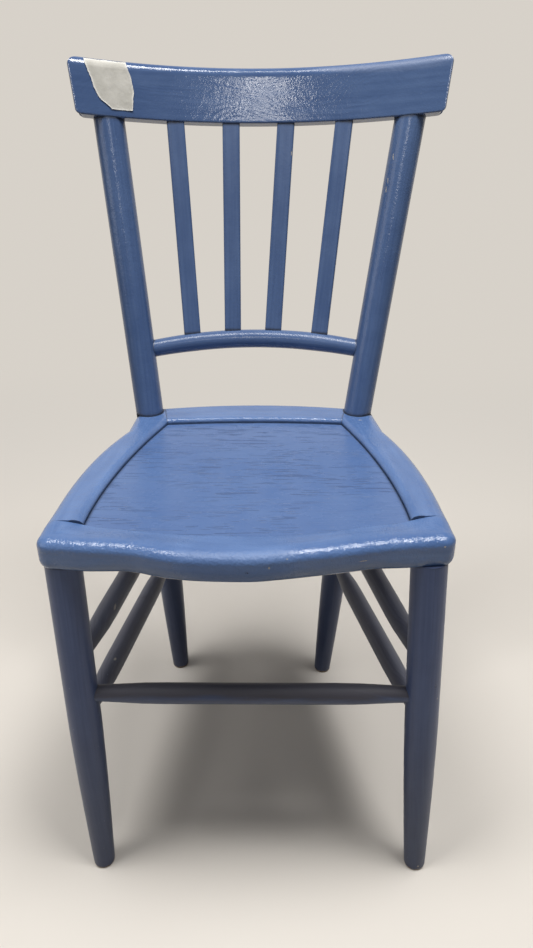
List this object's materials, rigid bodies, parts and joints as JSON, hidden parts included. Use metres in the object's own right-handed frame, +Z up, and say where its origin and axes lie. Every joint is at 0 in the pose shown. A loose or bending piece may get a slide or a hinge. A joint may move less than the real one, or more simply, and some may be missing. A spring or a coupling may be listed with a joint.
{
  "type": "kitchen chair",
  "caption": "Painted wooden kitchen chair with slatted back, bent crest rail, shaped seat frame round an inset panel, turned tapered legs and round stretchers, worn and dirty.",
  "frame": {"origin": "floor level under the middle of the bounding box", "axes": "+Z up, the sitter faces -Y, +X is the sitter's left"},
  "size_m": [0.42, 0.4414, 0.8282],
  "materials": {
    "seat_paint": "thick gloss blue brush paint on wood",
    "back_paint": "thick gloss blue brush paint on wood",
    "leg_paint": "blue gloss paint on wood, dirty, with small chips",
    "stretcher_paint": "blue paint on wood, rubbed through and dark with dirt",
    "bare_wood": "plain beech",
    "label_paper": "matt paper"
  },
  "bodies": {
    "root": {"back_post_left": "back_paint", "back_post_right": "back_paint", "back_slat_1": "back_paint", "back_slat_2": "back_paint", "back_slat_3": "back_paint", "back_slat_4": "back_paint", "crest_dowel_left": "bare_wood", "crest_dowel_right": "bare_wood", "crest_rail": "back_paint", "front_dowel_left": "bare_wood", "front_dowel_right": "bare_wood", "front_leg_left": "leg_paint", "front_leg_right": "leg_paint", "front_stretcher": "stretcher_paint", "lower_back_rail": "back_paint", "paper_label": "label_paper", "rear_dowel_left": "bare_wood", "rear_dowel_right": "bare_wood", "rear_leg_left": "leg_paint", "rear_leg_right": "leg_paint", "rear_stretcher": "stretcher_paint", "seat_panel": "seat_paint", "seat_rail_front": "seat_paint", "seat_rail_left": "seat_paint", "seat_rail_rear": "seat_paint", "seat_rail_right": "seat_paint", "side_stretcher_lower_left": "stretcher_paint", "side_stretcher_lower_right": "stretcher_paint", "side_stretcher_upper_left": "stretcher_paint", "side_stretcher_upper_right": "stretcher_paint"}
  },
  "joints": []
}
